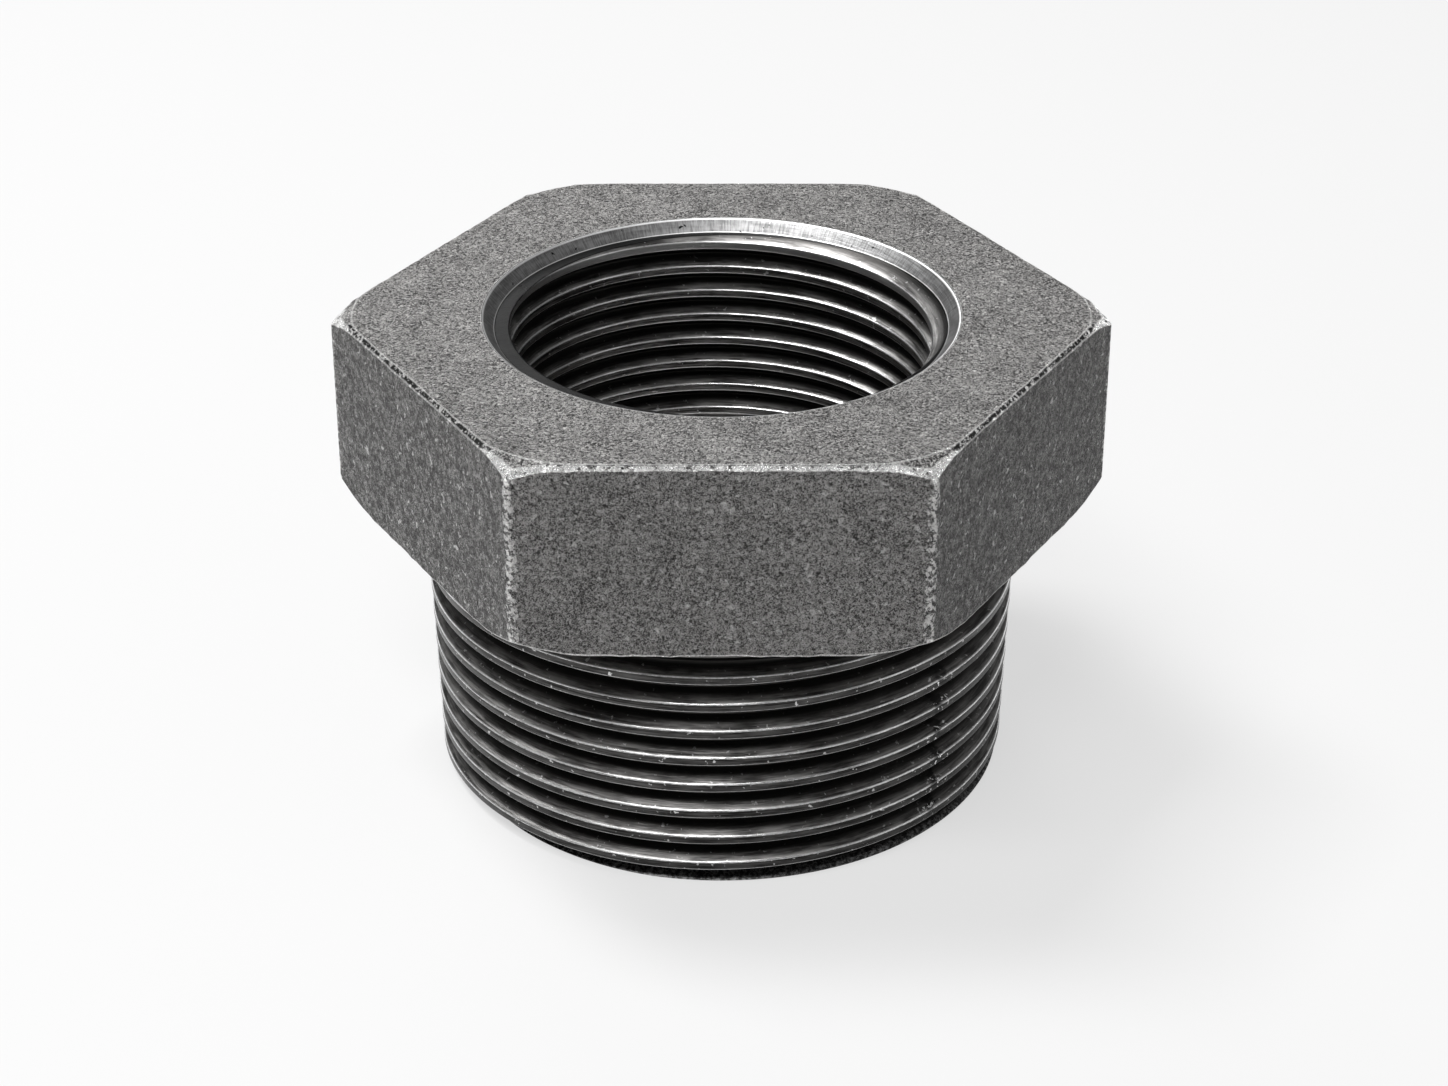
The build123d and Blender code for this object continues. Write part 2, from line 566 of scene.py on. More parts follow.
@dataclass(frozen=True)
class Bushing:
    """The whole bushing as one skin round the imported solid.

    Attributes:
        shank: the shank.
        head: the head.
        socket: the socket and the passage.
        columns_per_side: columns of points for each of the hexagon's sides.
        crowding: how much closer they stand at the corners, from 0 to below 1.
        weld: grid to which points are rounded when those that coincide are found.
    """

    shank: ShankThread = ShankThread()
    head: HexHead = HexHead()
    socket: SocketThread = SocketThread()
    columns_per_side: int = 50
    crowding: float = 0.72
    weld: float = 1e-5

    def angles(self) -> np.ndarray:
        """Angles of the columns, from 0 to a full turn, crowded at the hexagon's corners.

        With t from -1 to 1 across a corner, the angle from the corner is 30 degrees times
        (t - crowding / pi * sin(pi t)).

        Returns:
            The angles, rising.
        """
        share = np.linspace(0, 6, 6 * self.columns_per_side + 1)
        from_corner = 2 * (share - np.round(share))
        eased_share = from_corner - self.crowding / pi * np.sin(pi * from_corner)
        return (np.round(share) + eased_share / 2) * SIDE_ANGLE

    def skin(self) -> tuple[np.ndarray, np.ndarray, np.ndarray]:
        """Work out the skin's points, triangles and finishes.

        A point is (r cos a, r sin a, h). Points that coincide, as at the turn's seam and where the helix
        runs out at an end, are welded, and the triangles that this flattens are left out. Where the rows'
        two ends differ, a slit of up to 0.02 mm is left along the seam, and at one point of 0.05 mm.

        Returns:
            (points, 3) in mm, (triangles, 3) corners that turn left round an outward normal, and the
            finish of each triangle.
        """
        angle = self.angles()
        under_head = self.shank.surface(angle, np.full_like(angle, self.shank.length))
        bands = self.shank.bands(angle, self.socket.waterway_radius)
        bands += self.head.bands(angle, under_head, self.socket.rim_radius())
        bands += self.socket.bands(angle)
        radius = np.concatenate([band.radius for band in bands])
        height = np.concatenate([band.height for band in bands])
        finish = np.concatenate([np.full(len(band.radius), band.finish.value) for band in bands])
        rows, columns = radius.shape
        points = np.stack([radius * np.cos(angle), radius * np.sin(angle), height], axis=2).reshape(-1, 3)

        row = np.arange(rows)[:, None]
        column = np.arange(columns - 1)[None, :]
        next_row = (row + 1) % rows
        a = row * columns + column
        b = a + 1
        c = next_row * columns + column + 1
        d = next_row * columns + column
        triangles = np.stack([np.stack([a, b, c], axis=2), np.stack([a, c, d], axis=2)], axis=2).reshape(-1, 3)
        finishes = np.repeat(finish[(np.arange(rows) + 1) % rows], 2 * (columns - 1))

        _, first, welded = np.unique(np.round(points / self.weld).astype(np.int64), axis=0,
                                     return_index=True, return_inverse=True)
        points = points[first]
        triangles = welded.reshape(-1)[triangles]
        whole = ((triangles[:, 0] != triangles[:, 1]) & (triangles[:, 1] != triangles[:, 2])
                 & (triangles[:, 2] != triangles[:, 0]))
        return points, triangles[whole], finishes[whole]

    def normals(self, points: np.ndarray, triangles: np.ndarray) -> np.ndarray:
        """Normal of each point: the sum of its triangles' normals, each as long as its area is large.

        Args:
            points: (points, 3) places.
            triangles: (triangles, 3) corners.

        Returns:
            (points, 3) unit vectors.
        """
        p, q, r = (points[triangles[:, corner]] for corner in range(3))
        face = np.cross(q - p, r - p)
        total = np.zeros_like(points)
        for corner in range(3):
            for axis in range(3):
                total[:, axis] += np.bincount(triangles[:, corner], face[:, axis], len(points))
        return total / np.maximum(np.linalg.norm(total, axis=1, keepdims=True), 1e-12)

    def build(self) -> bpy.types.Object:
        """Make the bushing's object, with its finishes in the order of Finish.

        Returns:
            The object, which rides on the body and replaces the node.
        """
        points, triangles, finishes = self.skin()
        mesh = bpy.data.meshes.new("bushing")
        mesh.vertices.add(len(points))
        mesh.vertices.foreach_set("co", (points * MM).ravel())
        mesh.loops.add(triangles.size)
        mesh.loops.foreach_set("vertex_index", triangles.ravel().astype(np.int32))
        mesh.polygons.add(len(triangles))
        mesh.polygons.foreach_set("loop_start", np.arange(0, triangles.size, 3, dtype=np.int32))
        mesh.polygons.foreach_set("material_index", finishes.astype(np.int32))
        mesh.update(calc_edges=True)
        mesh.validate()
        mesh.polygons.foreach_set("use_smooth", np.ones(len(mesh.polygons), dtype=bool))
        mesh.normals_split_custom_set_from_vertices(self.normals(points, triangles).tolist())
        bushing = bpy.data.objects.new("bushing", mesh)
        bpy.context.scene.collection.objects.link(bushing)
        skin = ForgedSkin(self.head, self.socket.rim_radius())
        for finish in (skin, CutThread.on_shank(self.shank), CutThread.in_socket(self.socket), TurnedFace()):
            mesh.materials.append(finish.material())
        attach(bushing, BODY)
        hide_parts(NODE)
        log.info("bushing: %d points, %d triangles", len(points), len(mesh.polygons))
        return bushing


# What a node's input takes
Value = Union["Number", float]


class Number:
    """A number that varies over a surface: a node's socket, with the usual operators."""

    def __init__(self, tree: "Tree", socket: bpy.types.NodeSocket) -> None:
        """Wrap a socket of a tree."""
        self.tree = tree
        self.socket = socket

    def math(self, operation: str, *values: Value) -> "Number":
        """The result of a Math node on some values."""
        inputs = dict(enumerate(values))
        return self.tree.number(self.tree.add("ShaderNodeMath", {"operation": operation}, inputs))

    def __add__(self, other: Value) -> "Number":
        """This plus other."""
        return self.math("ADD", self, other)

    def __sub__(self, other: Value) -> "Number":
        """This less other."""
        return self.math("SUBTRACT", self, other)

    def __rsub__(self, other: float) -> "Number":
        """Other less this."""
        return self.math("SUBTRACT", other, self)

    def __mul__(self, other: Value) -> "Number":
        """This times other."""
        return self.math("MULTIPLY", self, other)

    def __truediv__(self, other: Value) -> "Number":
        """This over other."""
        return self.math("DIVIDE", self, other)

    def __pow__(self, other: float) -> "Number":
        """This to a power."""
        return self.math("POWER", self, other)

    def __abs__(self) -> "Number":
        """Distance from 0."""
        return self.math("ABSOLUTE", self)

    __radd__ = __add__
    __rmul__ = __mul__

    def rounded(self) -> "Number":
        """The nearest whole number."""
        return self.math("ROUND", self)

    def angle(self, x: "Number") -> "Number":
        """Angle round the axis of a point that lies at this y and at x."""
        return self.math("ARCTAN2", self, x)

    def larger(self, other: Value) -> "Number":
        """The larger of two."""
        return self.math("MAXIMUM", self, other)

    def smaller(self, other: Value) -> "Number":
        """The smaller of two."""
        return self.math("MINIMUM", self, other)

    def rise(self, low: float, high: float) -> "Number":
        """0 below low, 1 above high and a smooth step between.

        Args:
            low: where the step starts.
            high: where it ends.

        Returns:
            The share of the step.
        """
        settings = {"interpolation_type": "SMOOTHSTEP"}
        inputs = {"Value": self, "From Min": low, "From Max": high}
        return self.tree.number(self.tree.add("ShaderNodeMapRange", settings, inputs))

    def fall(self, low: float, high: float) -> "Number":
        """1 below low, 0 above high and a smooth step between."""
        return 1 - self.rise(low, high)


class Tree:
    """A material's nodes."""

    def __init__(self, name: str) -> None:
        """Start a material with no nodes.

        Args:
            name: the material's name.
        """
        self.material = bpy.data.materials.new(name)
        self.material.use_nodes = True
        self.nodes = self.material.node_tree.nodes
        self.links = self.material.node_tree.links
        self.nodes.clear()

    def add(self, kind: str, settings: dict[str, Any], inputs: dict[Any, Any]) -> bpy.types.Node:
        """Add a node.

        Args:
            kind: the node's type.
            settings: its own values, set first.
            inputs: a value, a Number or a socket for each of its sockets, by name or place.

        Returns:
            The node.
        """
        node = self.nodes.new(kind)
        for name, value in settings.items():
            setattr(node, name, value)
        for name, value in inputs.items():
            socket = value.socket if isinstance(value, Number) else value
            if isinstance(socket, bpy.types.NodeSocket):
                self.links.new(socket, node.inputs[name])
            else:
                node.inputs[name].default_value = socket
        return node

    def number(self, node: bpy.types.Node, output: Union[str, int] = 0) -> Number:
        """One output of a node, as a number."""
        return Number(self, node.outputs[output])

    def place(self) -> bpy.types.NodeSocket:
        """Find a point's place on the object.

        Returns:
            Object coordinates in mm.
        """
        coordinates = self.add("ShaderNodeTexCoord", {}, {})
        inputs = {0: coordinates.outputs["Object"], "Scale": 1 / MM}
        return self.add("ShaderNodeVectorMath", {"operation": "SCALE"}, inputs).outputs[0]

    def split(self, vector: bpy.types.NodeSocket) -> tuple[Number, Number, Number]:
        """The three parts of a vector."""
        node = self.add("ShaderNodeSeparateXYZ", {}, {0: vector})
        return self.number(node, 0), self.number(node, 1), self.number(node, 2)

    def joined(self, x: Number, y: Number, z: Number) -> bpy.types.NodeSocket:
        """A vector of three parts."""
        return self.add("ShaderNodeCombineXYZ", {}, {0: x, 1: y, 2: z}).outputs[0]

    def stretched(self, vector: bpy.types.NodeSocket, factors: Places) -> bpy.types.NodeSocket:
        """A vector with each part multiplied."""
        return self.add("ShaderNodeVectorMath", {"operation": "MULTIPLY"}, {0: vector, 1: factors}).outputs[0]

    def noise(self, vector: bpy.types.NodeSocket, scale: float, detail: float, roughness: float,
              curl: float = 0.0) -> Number:
        """Cloudy noise about 0.5, whose lumps are about 1 / scale wide and curl where curl is over 0."""
        inputs = {"Vector": vector, "Scale": scale, "Detail": detail, "Roughness": roughness, "Distortion": curl}
        return self.number(self.add("ShaderNodeTexNoise", {}, inputs))

    def mixed(self, share: Value, first: Any, second: Any) -> bpy.types.NodeSocket:
        """A colour between two, by a share of the second."""
        settings = {"data_type": "RGBA", "clamp_factor": True}
        return self.add("ShaderNodeMix", settings, {0: share, 6: first, 7: second}).outputs[2]

    def bump(self, height: Number, distance: float) -> bpy.types.NodeSocket:
        """A normal that follows a height of 0 to 1, which stands for a distance in mm."""
        return self.add("ShaderNodeBump", {}, {"Height": height, "Distance": distance * MM}).outputs[0]

    def finish(self, inputs: dict[str, Any]) -> bpy.types.Material:
        """Give the material a Principled shader.

        Args:
            inputs: the shader's inputs, by name.

        Returns:
            The material.
        """
        shader = self.add("ShaderNodeBsdfPrincipled", {}, inputs)
        self.add("ShaderNodeOutputMaterial", {}, {"Surface": shader.outputs[0]})
        return self.material


def grey(value: float, warmth: float = 0.0) -> tuple[float, float, float, float]:
    """A grey, warmer than neutral by a share of its value."""
    return (value * (1 + warmth), value, value * (1 - warmth), 1.0)


@dataclass(frozen=True)
class HeadPlace:
    """Where a point lies on the head, as distances in mm and shares of 0 to 1.

    Attributes:
        from_flat: distance inwards from the plane of the nearest flat.
        from_corner: distance from the nearest corner, along its flat.
        from_top: distance below the head's top.
        from_bottom: distance above its underside.
        from_front_or_back: distance inwards from the plane of the front or back flat, the nearer one.
        from_axis: distance from the pipe axis.
        ragged: a small unevenness that frays what is drawn with the distances.
        by_top: share of being near the top.
        by_front: share of being near the front flat.
        bevel: share of the broken and turned-off top edges: off the flats and the top, but near the top.
        chipped: share of those edges' narrow part, without the turned-off corners.
    """

    from_flat: Number
    from_corner: Number
    from_top: Number
    from_bottom: Number
    from_front_or_back: Number
    from_axis: Number
    ragged: Number
    by_top: Number
    by_front: Number
    bevel: Number
    chipped: Number


@dataclass(frozen=True)
class ForgedSkin:
    """The forged faces: dark grey steel with a fine curled grain, worn to bare metal along the edges, with
    painted light and shade on its faces.

    On a flat or an end face the distance from it is 0, so a thin line that starts just off 0 runs along
    each border of a broken edge. Spans are the distances in mm over which something fades in or out.

    Attributes:
        head: the head.
        rim_radius: radius of the socket's rim.
        dark: grey of the grain's hollows and pits.
        light: grey of its peaks on the front and the back.
        side_painted_shade: the same on the slanting sides, painted darker as shade.
        top_painted_light: the same on the top and on the turned-off corners, painted lighter as the light from
            above.
        pale: grey of the curls and scuffs.
        worn: grey of bare metal.
        metal: share of metal in the reflection.
        roughness: roughness of the unworn skin.
        grain: lumps of the grain in a mm.
        side_contrast: how much stronger the grain is on the slanting sides.
        relief: height in mm that the bump stands for.
        off_face: just off a face, where a border line starts.
        off_bevel: off a face, where a broken edge starts.
        by_end: how near the top or the underside the edges there are.
        front_edge: how near the front flat its own edges are.
        rim_line: half the width of the bright line round the socket's rim.
        top_line: width of the line along the top's border.
        flat_line: width of the line along a flat's upper border.
        bottom_line: width of the line along a flat's lower border.
        chips: width of the chipped part of a broken edge.
        front_highlight_span: width of the painted highlight along the front one.
        tips: size of the bright tips of the corners.
        upright: width of the wear on an upright edge.
        upright_border: how far beside that edge its fainter line runs.
    """

    head: HexHead
    rim_radius: float
    dark: float = 0.03
    light: float = 0.32
    side_painted_shade: float = 0.12
    top_painted_light: float = 0.62
    pale: float = 0.8
    worn: float = 1.0
    metal: float = 0.8
    roughness: float = 0.56
    grain: float = 7.0
    side_contrast: float = 1.6
    relief: float = 0.4
    off_face: Span = (0.004, 0.02)
    off_bevel: Span = (0.01, 0.04)
    by_end: Span = (1.0, 1.2)
    front_edge: Span = (0.35, 0.6)
    rim_line: Span = (0.02, 0.06)
    top_line: Span = (0.03, 0.07)
    flat_line: Span = (0.04, 0.08)
    bottom_line: Span = (0.07, 0.12)
    chips: Span = (0.3, 0.5)
    front_highlight_span: Span = (0.3, 0.4)
    tips: Span = (0.6, 0.75)
    upright: Span = (0.15, 0.4)
    upright_border: float = 0.34

    def find(self, tree: Tree, place: bpy.types.NodeSocket) -> HeadPlace:
        """Find where a point lies.

        Its distances from the three planes through the axis that are parallel to flats say which flat is
        nearest (the largest of them) and which flat meets it at the nearest corner (the middle one).

        Args:
            tree: the material's nodes.
            place: object coordinates in mm.

        Returns:
            Its place.
        """
        x, y, z = tree.split(place)
        sine, cosine = sin(SIDE_ANGLE), cos(SIDE_ANGLE)
        first = abs(y)
        second = abs(x * sine + y * cosine)
        third = abs(x * sine - y * cosine)
        largest = first.larger(second).larger(third)
        smallest = first.smaller(second).smaller(third)
        middle = first + second + third - largest - smallest
        apothem = self.head.apothem()
        from_flat = apothem - largest
        from_top = self.head.high - z
        by_top = from_top.fall(*self.by_end)
        ragged = (tree.noise(place, 2.5, 4.0, 0.75) - 0.5) * 0.1
        bevel = from_flat.rise(*self.off_bevel) * from_top.rise(*self.off_bevel) * by_top
        return HeadPlace(
            from_flat=from_flat,
            from_corner=(apothem - middle) / sine,
            from_top=from_top,
            from_bottom=z - self.head.low,
            from_front_or_back=apothem - first,
            from_axis=(x * x + y * y) ** 0.5,
            ragged=ragged,
            by_top=by_top,
            by_front=(y + apothem).fall(*self.front_edge),
            bevel=bevel,
            chipped=bevel * (from_flat + ragged * 2).fall(*self.chips),
        )

    def pitted(self, at: HeadPlace) -> Number:
        """The share of dark dents: along the broken top edges but the front one, and at the corners."""
        along = at.chipped * (1 - at.by_front) * at.from_corner.rise(2.0, 2.6)
        return along.larger(at.from_corner.fall(0.3, 0.5) * 0.3)

    def top_wear(self, at: HeadPlace, dents: Number) -> Number:
        """Bare metal along the top edges: border lines, bare chips, the corners' tips, and a painted highlight on
        the front one.

        Args:
            at: where the point lies.
            dents: noise of the dents' size.

        Returns:
            The share of bare metal.
        """
        frayed = at.from_flat + at.ragged * 2
        # The front edge gets more bare metal, partly wear and partly painted highlight.
        bare = (dents + at.by_front * 0.06).rise(0.53, 0.59)
        upper_line = at.from_top.rise(*self.off_face) * (at.from_top + at.ragged).fall(*self.top_line)
        lower_line = at.from_flat.rise(*self.off_face) * (at.from_flat + at.ragged).fall(*self.flat_line)
        # A painted highlight along the front's broken edge.
        painted_front_highlight = at.bevel * at.by_front * at.from_top.rise(0.06, 0.09) * dents.rise(0.41, 0.46)
        painted_front_highlight = painted_front_highlight * frayed.rise(0.0, 0.06) * frayed.fall(*self.front_highlight_span)
        from_tip = at.from_flat + at.ragged * 3 + at.from_corner * 0.22
        tip = at.bevel * from_tip.fall(*self.tips) * dents.rise(0.36, 0.42)
        lines = (upper_line * (0.5 + bare * 0.5)).larger(lower_line * at.by_top * (0.35 + bare * 0.5))
        return lines.larger(at.chipped * bare * 0.6).larger(painted_front_highlight).larger(tip)

    def side_wear(self, at: HeadPlace, dents: Number) -> Number:
        """Bare metal on the upright edges, with a fainter line beside each, and along the bottom edges.

        Args:
            at: where the point lies.
            dents: noise of the dents' size.

        Returns:
            The share of bare metal.
        """
        from_border = abs(at.from_corner - self.upright_border + at.ragged * 5)
        border = from_border.fall(0.02, 0.08) * dents.rise(0.5, 0.58)
        upright = (at.from_corner + at.ragged * 8).fall(*self.upright) * dents.rise(0.46, 0.54)
        bottom = at.from_flat.rise(*self.off_face) * (at.from_flat + at.ragged).fall(*self.bottom_line)
        bottom = bottom * at.from_bottom.fall(*self.by_end) * (0.5 + dents.rise(0.42, 0.54) * 0.5)
        return bottom.larger(border * 0.45).larger(upright * 0.5)

    def rim_wear(self, at: HeadPlace) -> Number:
        """Bare metal in a thin line round the socket's rim, on the top only."""
        from_rim = abs(at.from_axis - self.rim_radius + at.ragged * 0.5)
        return from_rim.fall(*self.rim_line) * at.from_top.fall(0.01, 0.02)

    def material(self) -> bpy.types.Material:
        """Make the material: two sizes of curled grain, pale scuffs, dark pits, the worn edges, and painted light
        and shade on the faces.

        Returns:
            The material.
        """
        tree = Tree("forged_skin")
        place = tree.place()
        grain = tree.noise(place, self.grain, 2.0, 0.6, 1.2)
        fine = tree.noise(place, self.grain * 2, 2.0, 0.6)
        patches = tree.noise(place, 0.4, 3.0, 0.6)
        curls = abs(tree.noise(place, self.grain * 0.55, 2.0, 0.55, 1.6) - 0.5).fall(0.0, 0.08)
        curls = curls * tree.noise(place, 2.2, 2.0, 0.6).rise(0.4, 0.58)
        scuffs = tree.noise(place, 2.6, 1.0, 0.4, 0.6).rise(0.68, 0.73)
        pits = tree.noise(place, 3.3, 1.0, 0.4).rise(0.7, 0.76)
        dents = tree.noise(place, 3.5, 3.0, 0.7)
        at = self.find(tree, place)
        worn = self.top_wear(at, dents).larger(self.side_wear(at, dents)).larger(self.rim_wear(at) * 0.9)
        dented = self.pitted(at)

        # Painted light and shade: the top and the turned-off corners are painted lighter, the slanting sides
        # darker.
        top = at.from_top.fall(0.02, 0.04)
        corner = at.from_flat.rise(0.25, 0.4) * at.by_top
        side = at.from_front_or_back.rise(0.1, 0.3) * (1 - top)
        mottle = grain * 0.7 + fine * 0.3 - 0.5 + (patches - 0.5) * 0.1
        tone = (mottle * (1 + side * (self.side_contrast - 1)) - side * 0.02).rise(-0.1, 0.11)
        light = tree.mixed(side, grey(self.light, 0.02), grey(self.side_painted_shade, 0.02))
        light = tree.mixed(top.larger(corner), light, grey(self.top_painted_light, 0.02))
        colour = tree.mixed(tone, grey(self.dark, 0.03), light)
        marks = curls * (0.26 + side * 0.06) + scuffs * (0.3 + side * 0.12)
        colour = tree.mixed(marks, colour, grey(self.pale, 0.01))
        colour = tree.mixed(pits * 0.7 + dented * dents.fall(0.5, 0.56), colour, grey(self.dark / 2, 0.03))
        colour = tree.mixed(worn, colour, grey(self.worn, 0.01))
        return tree.finish({
            "Base Color": colour,
            "Metallic": self.metal,
            "Roughness": self.roughness - worn * 0.28 - (grain - 0.5) * 0.3,
            "Normal": tree.bump(grain * 0.6 + fine * 0.3 + curls * 0.45 + dented * dents * 0.4, self.relief),
        })


@dataclass(frozen=True)
class TurnedFace:
    """A plainly turned or drilled face: mid grey with faint rings.

    Attributes:
        dark: grey of the darker rings.
        light: grey of the lighter ones.
        rings_across: rings in a mm of radius.
        rings_down: rings in a mm of height.
        relief: height in mm that the bump stands for.
    """

    dark: float = 0.16
    light: float = 0.38
    rings_across: float = 9.0
    rings_down: float = 7.0
    relief: float = 0.01

    def material(self) -> bpy.types.Material:
        """Make the material, whose rings follow the distance from the axis and the height.

        Returns:
            The material.
        """
        tree = Tree("turned_face")
        place = tree.place()
        x, y, z = tree.split(place)
        radius = (x * x + y * y) ** 0.5
        across = radius * self.rings_across + z * self.rings_down
        rings = tree.noise(tree.joined(across, x * 0.1, y * 0.1), 1.0, 2.0, 0.6)
        cloud = tree.noise(place, 0.6, 3.0, 0.6)
        colour = tree.mixed(rings * 0.7 + cloud * 0.3, grey(self.dark, 0.03), grey(self.light, 0.03))
        return tree.finish({
            "Base Color": colour,
            "Metallic": 0.9,
            "Roughness": 0.4 + (cloud - 0.5) * 0.3,
            "Normal": tree.bump(rings, self.relief),
        })


@dataclass(frozen=True)
class ThreadPlace:
    """Where a point lies on a thread, and the noises that streak and fray it.

    Attributes:
        height: height in mm.
        angle: angle round the pipe axis.
        radius: distance from the axis in mm.
        flat: the share of crest flat.
        near: 1 at a crest's edge, falling to 0 towards the root.
        streaks: fine streaks along the thread.
        smears: wider ones.
        ragged: unevenness that frays lines.
        lines: the share of the two bright lines along a crest's edges, bare metal and painted highlight.
        place: object coordinates in mm.
    """

    height: Number
    angle: Number
    radius: Number
    flat: Number
    near: Number
    streaks: Number
    smears: Number
    ragged: Number
    lines: Number
    place: bpy.types.NodeSocket


@dataclass(frozen=True)
class CutThread:
    """A cut thread: streaked flanks with painted shade that deepens to black in the roots, and bright crest edges
    of bare metal and painted highlight.

    Spans are the distances in mm over which something fades in or out.

    Attributes:
        name: the material's name.
        thread: the thread, whose phase the pattern follows.
        shade_height: height from which a thread on a shank darkens towards the head, or 0.
        cone_radius: radius of a countersink at the head's face, or 0.
        cone_depth: depth of that countersink, or 0.
        chamfer: height of a chamfered end, or 0.
        scar: angle of a column of nicks, or 0 for none.
        root: grey of the roots' painted shade, of the painted shade under the head and below the countersink, and
            of dark nicks.
        flank: grey of the flanks' brightest streaks, where the painted shade of the roots has faded.
        flat: grey of the crest flats' brightest streaks.
        bright: grey of bare metal, and of the painted highlights along the crest edges.
        edge: half the span over which a crest flat's colour changes to the flanks'.
        relief: height in mm that the bump stands for.
        roughness: roughness of the middling streaks.
        upper_line: half the width of the bright line on a crest's upper edge.
        lower_line: the same on its lower edge.
        shade_length: the height over which a thread on a shank darkens.
        scar_low: heights over which the nicks fade in.
        scar_high: heights over which they fade out.
        scratches: scratches across the countersink in a radian.
    """

    name: str
    thread: Thread
    shade_height: float = 0.0
    cone_radius: float = 0.0
    cone_depth: float = 0.0
    chamfer: float = 0.0
    scar: float = 0.0
    root: float = 0.015
    flank: float = 0.4
    flat: float = 0.075
    bright: float = 1.0
    edge: float = 0.02
    relief: float = 0.03
    roughness: float = 0.36
    upper_line: Span = (0.015, 0.055)
    lower_line: Span = (0.015, 0.05)
    shade_length: float = 1.6
    scar_low: Span = (1.4, 1.9)
    scar_high: Span = (9.5, 12.5)
    scratches: float = 150.0

    @classmethod
    def on_shank(cls, shank: ShankThread) -> "CutThread":
        """The finish of the outside thread, with its chamfered end and the scar that runs down its front."""
        return cls("shank_thread", shank.thread(), shade_height=shank.length - shank.fade_length,
                   chamfer=shank.end_chamfer, scar=radians(-43.3))

    @classmethod
    def in_socket(cls, socket: SocketThread) -> "CutThread":
        """The finish of the inside thread and its countersink."""
        return cls("socket_thread", socket.thread(), cone_radius=socket.countersink_radius,
                   cone_depth=socket.countersink_depth(), flat=0.26)

    def find(self, tree: Tree) -> ThreadPlace:
        """Find where a point lies on the thread.

        The helix's phase in turns is the height above its start over the pitch, less the angle's share of a
        turn. What it differs by from the nearest whole turn, times the pitch, is the height above a crest.

        Args:
            tree: the material's nodes.

        Returns:
            The place, and noises that are stretched along the thread and differ from turn to turn.
        """
        place = tree.place()
        x, y, z = tree.split(place)
        angle = y.angle(x)
        turns = (z - self.thread.start) / self.thread.pitch - angle / tau
        whole = turns.rounded()
        above = (turns - whole) * self.thread.pitch
        half = self.thread.crest_flat / 2
        climb = (abs(above) - half) / (self.thread.pitch / 2 - half)
        along = tree.joined(x * 0.5, y * 0.5, above + whole * 3.7)
        ragged = tree.noise(place, 4.0, 4.0, 0.8)
        wobble = (ragged - 0.5) * 0.06
        upper_line = abs(above - half + wobble).fall(*self.upper_line)
        lower_line = abs(above + half + wobble).fall(*self.lower_line)
        return ThreadPlace(
            height=z,
            angle=angle,
            radius=(x * x + y * y) ** 0.5,
            flat=abs(above).fall(half - self.edge, half + self.edge),
            near=climb.fall(0.0, 0.85),
            streaks=tree.noise(tree.stretched(along, (0.6, 0.6, 10.0)), 1.0, 3.0, 0.75),
            smears=tree.noise(tree.stretched(along, (1.0, 1.0, 3.0)), 1.0, 3.0, 0.6),
            ragged=ragged,
            lines=upper_line.larger(lower_line),
            place=place,
        )

    def cut(self, tree: Tree, at: ThreadPlace) -> bpy.types.NodeSocket:
        """Colour the flanks, roots and crests, with painted shade towards the roots and painted highlights on the
        crests' edges.

        Args:
            tree: the material's nodes.
            at: where the point lies.

        Returns:
            The colour.
        """
        flecks = tree.noise(at.place, 3.0, 2.0, 0.6).rise(0.66, 0.72)
        brushed = (at.streaks * 0.7 + at.smears * 0.5 - 0.1).rise(0.34, 0.66)
        # Painted shade: the flanks darken to black towards the roots.
        tone = at.near**2.0 * (0.1 + brushed * 0.9) + 0.04
        colour = tree.mixed(tone, grey(self.root, 0.05), grey(self.flank, 0.02))
        crest = tree.mixed(brushed, grey(self.flat / 7, 0.03), grey(self.flat, 0.02))
        colour = tree.mixed(at.flat, colour, crest)
        colour = tree.mixed(flecks * at.near * 0.5, colour, grey(self.bright))
        # The crest edges' lines: bare metal and painted highlight.
        return tree.mixed(at.lines * (0.36 + at.ragged * 0.8), colour, grey(self.bright))

    def ended(self, tree: Tree, at: ThreadPlace, colour: bpy.types.NodeSocket) -> bpy.types.NodeSocket:
        """Darken a shank's thread under the head, and mottle its chamfered end.

        Args:
            tree: the material's nodes.
            at: where the point lies.
            colour: the thread's colour.

        Returns:
            The new colour.
        """
        shade = at.height.rise(self.shade_height, self.shade_height + self.shade_length)
        colour = tree.mixed(shade * 0.75, colour, grey(self.root, 0.05))
        end = at.height.fall(self.chamfer - 0.1, self.chamfer)
        return tree.mixed(end, colour, tree.mixed(at.ragged.rise(0.42, 0.66), grey(0.02), grey(0.2)))

    def scarred(self, tree: Tree, at: ThreadPlace, colour: bpy.types.NodeSocket) -> bpy.types.NodeSocket:
        """Draw a column of nicks across the turns: a dark smudge with bright spots on the crests beside it.

        Args:
            tree: the material's nodes.
            at: where the point lies.
            colour: the thread's colour.

        Returns:
            The new colour.
        """
        beside = abs(at.angle - self.scar + (at.smears - 0.5) * 0.15)
        reach = at.height.rise(*self.scar_low) * at.height.fall(*self.scar_high)
        nicked = beside.fall(0.012, 0.03) * reach
        spots = beside.fall(0.04, 0.06) * at.near.rise(0.6, 0.8) * reach
        spots = spots * tree.noise(at.place, 3.5, 2.0, 0.6).rise(0.6, 0.64)
        colour = tree.mixed(nicked * 0.8, colour, grey(self.root))
        return tree.mixed(spots, colour, grey(self.bright))

    def cone(self, at: ThreadPlace) -> Number:
        """The share of the countersink: where the depth below its rim is what the radius has narrowed by.

        Args:
            at: where the point lies.

        Returns:
            The share.
        """
        low = self.thread.mouth - self.cone_depth
        on_cone = abs(self.thread.mouth - at.height + at.radius - self.cone_radius).fall(0.02, 0.05)
        return on_cone * at.height.rise(low, low + 0.02)

